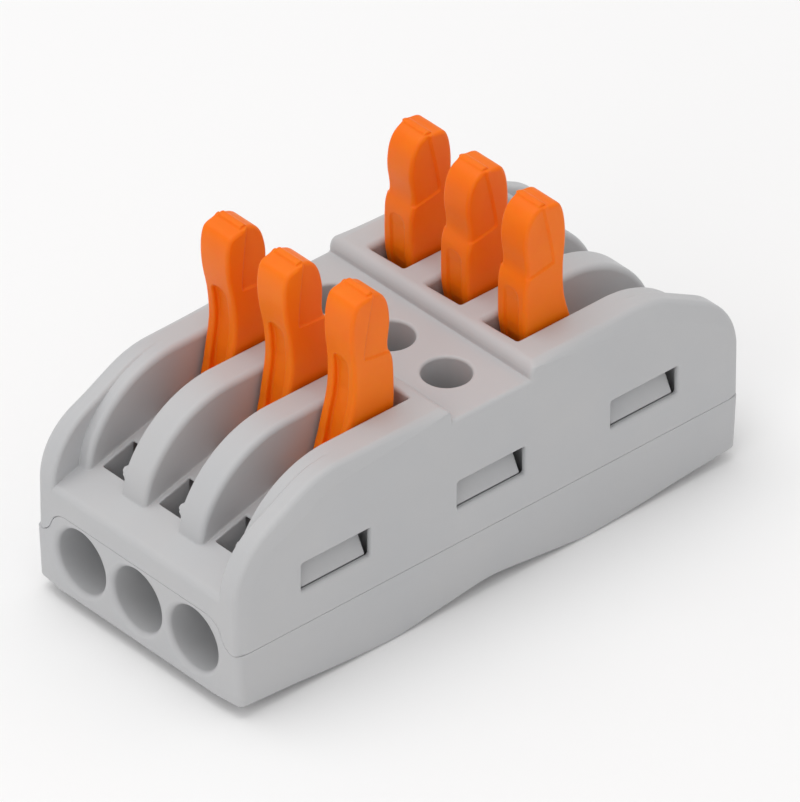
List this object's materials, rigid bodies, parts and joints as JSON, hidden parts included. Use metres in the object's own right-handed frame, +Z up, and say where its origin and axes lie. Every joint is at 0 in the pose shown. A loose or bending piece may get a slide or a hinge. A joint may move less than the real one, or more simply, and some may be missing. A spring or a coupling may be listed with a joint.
{
  "type": "lever wire connector",
  "caption": "Inline lever wire connector: grey two-part housing, wire entries in both ends, raised orange clamping levers in rounded channels and test ports across the middle.",
  "frame": {"origin": "centre of the footprint, on the surface that the connector stands on", "axes": "+X along the lanes from the 'a' end to the 'b' end, +Y across the lanes from lane 3 to lane 1, +Z up"},
  "size_m": [0.0402, 0.0182, 0.0232],
  "materials": {
    "housing_plastic": "fine satin moulded polyamide, light neutral grey",
    "lever_plastic": "satin moulded, saturated orange, slightly translucent at thin edges",
    "spring_steel": "rolled strip, bright",
    "tinned_copper": "tin-plated copper, satin"
  },
  "bodies": {
    "housing": {"upper_housing": "housing_plastic", "lower_housing": "housing_plastic", "cage_spring_a1": "spring_steel", "cage_spring_a2": "spring_steel", "cage_spring_a3": "spring_steel", "cage_spring_b1": "spring_steel", "cage_spring_b2": "spring_steel", "cage_spring_b3": "spring_steel", "busbar_1": "tinned_copper", "busbar_2": "tinned_copper", "busbar_3": "tinned_copper"},
    "lever_a1": {"lever_a1": "lever_plastic"},
    "lever_a2": {"lever_a2": "lever_plastic"},
    "lever_a3": {"lever_a3": "lever_plastic"},
    "lever_b1": {"lever_b1": "lever_plastic"},
    "lever_b2": {"lever_b2": "lever_plastic"},
    "lever_b3": {"lever_b3": "lever_plastic"}
  },
  "joints": [
    {"name": "lever_a1_swing", "type": "hinge", "parent": "housing", "child": "lever_a1", "pos_m": [-0.0077, 0.00505, 0.0116], "axis": [0, -1, 0], "range_deg": [-6.5, 84.5], "deforming": ["cage_spring_a1"]},
    {"name": "lever_a2_swing", "type": "hinge", "parent": "housing", "child": "lever_a2", "pos_m": [-0.0077, 0, 0.0116], "axis": [0, -1, 0], "range_deg": [-6.5, 84.5], "deforming": ["cage_spring_a2"]},
    {"name": "lever_a3_swing", "type": "hinge", "parent": "housing", "child": "lever_a3", "pos_m": [-0.0077, -0.00505, 0.0116], "axis": [0, -1, 0], "range_deg": [-1.5, 89.5], "deforming": ["cage_spring_a3"]},
    {"name": "lever_b1_swing", "type": "hinge", "parent": "housing", "child": "lever_b1", "pos_m": [0.0077, 0.00505, 0.0116], "axis": [0, 1, 0], "range_deg": [0, 91], "deforming": ["cage_spring_b1"]},
    {"name": "lever_b2_swing", "type": "hinge", "parent": "housing", "child": "lever_b2", "pos_m": [0.0077, 0, 0.0116], "axis": [0, 1, 0], "range_deg": [0, 91], "deforming": ["cage_spring_b2"]},
    {"name": "lever_b3_swing", "type": "hinge", "parent": "housing", "child": "lever_b3", "pos_m": [0.0077, -0.00505, 0.0116], "axis": [0, 1, 0], "range_deg": [0, 91], "deforming": ["cage_spring_b3"]}
  ]
}
